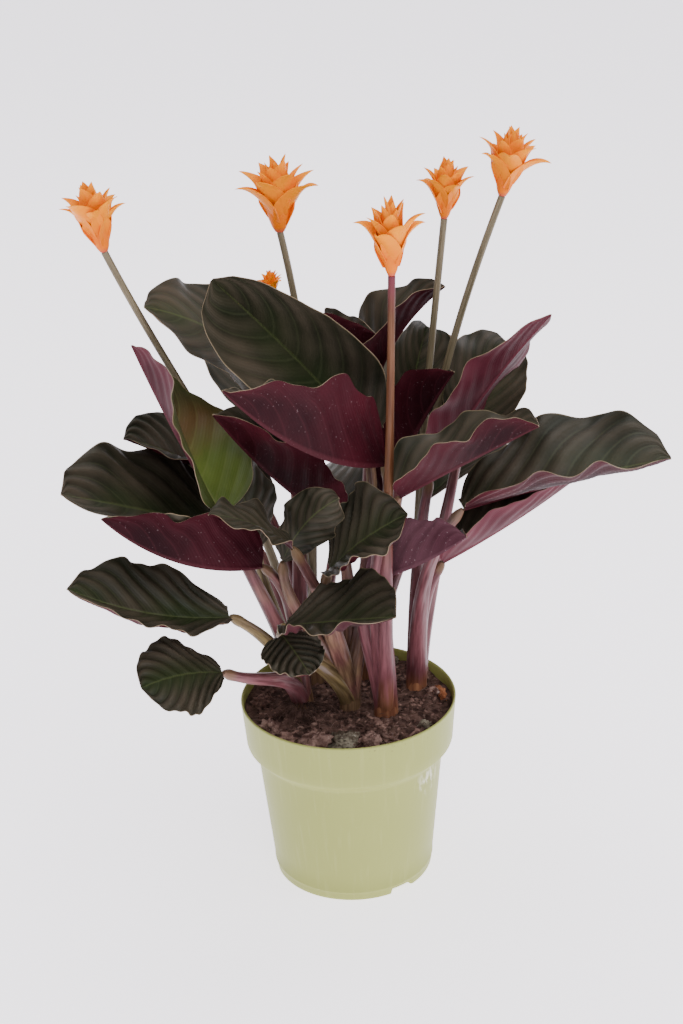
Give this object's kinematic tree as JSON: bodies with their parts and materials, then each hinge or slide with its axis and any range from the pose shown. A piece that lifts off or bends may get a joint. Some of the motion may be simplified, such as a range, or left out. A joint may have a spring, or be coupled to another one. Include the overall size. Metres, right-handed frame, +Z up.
{
  "type": "potted calathea",
  "caption": "Flowering calathea with dark wavy leaves, purple undersides and orange bract heads on tall stalks, growing in a plain round plastic pot",
  "frame": {"origin": "middle of the pot's flat foot, on the surface it stands on", "axes": "+Z up along the pot's axis; -Y towards the viewer of the front; +X to the viewer's right"},
  "size_m": [0.3672, 0.3481, 0.4904],
  "materials": {
    "pot_plastic": "satin moulded plastic, sage green",
    "soil": "loose potting soil with bark",
    "stem": "smooth living stem, mauve to olive",
    "leaf": "satin living leaf, dark green above and purple below",
    "bract": "soft matt petal, orange"
  },
  "bodies": {
    "root": {"pot": "pot_plastic", "soil": "soil", "shoot_left": "stem", "shoot_middle": "stem", "shoot_front_right": "stem", "shoot_right": "stem", "shoot_back_left": "stem", "shoot_back_right": "stem", "leaf_crown_front": "leaf", "leaf_upper_left": "leaf", "leaf_flame_young": "leaf", "leaf_left_small": "leaf", "leaf_left_big": "leaf", "leaf_left_under": "leaf", "leaf_low_left": "leaf", "leaf_low_round": "leaf", "leaf_tiny_front": "leaf", "leaf_low_centre": "leaf", "leaf_centre_dark": "leaf", "leaf_centre_purple": "leaf", "leaf_right_channel": "leaf", "leaf_right_big": "leaf", "leaf_right_mid": "leaf", "leaf_right_tall": "leaf", "leaf_back_right": "leaf", "leaf_back_centre": "leaf", "leaf_top_right": "leaf", "leaf_top_small": "leaf", "leaf_mid_purple": "leaf", "leaf_centre_wing": "leaf", "leaf_centre_wing_low": "leaf", "leaf_left_back_dark": "leaf", "leaf_centre_curl_left": "leaf", "leaf_centre_curl_right": "leaf", "leaf_rear_low_left": "leaf", "leaf_rear_low_right": "leaf", "leaf_rear_mid_left": "leaf", "leaf_rear_mid_right": "leaf", "leaf_rear_low": "leaf", "flower_head_left": "bract", "flower_head_middle": "bract", "flower_head_front": "bract", "flower_head_right": "bract", "flower_head_far_right": "bract", "flower_head_small": "bract"}
  },
  "joints": []
}
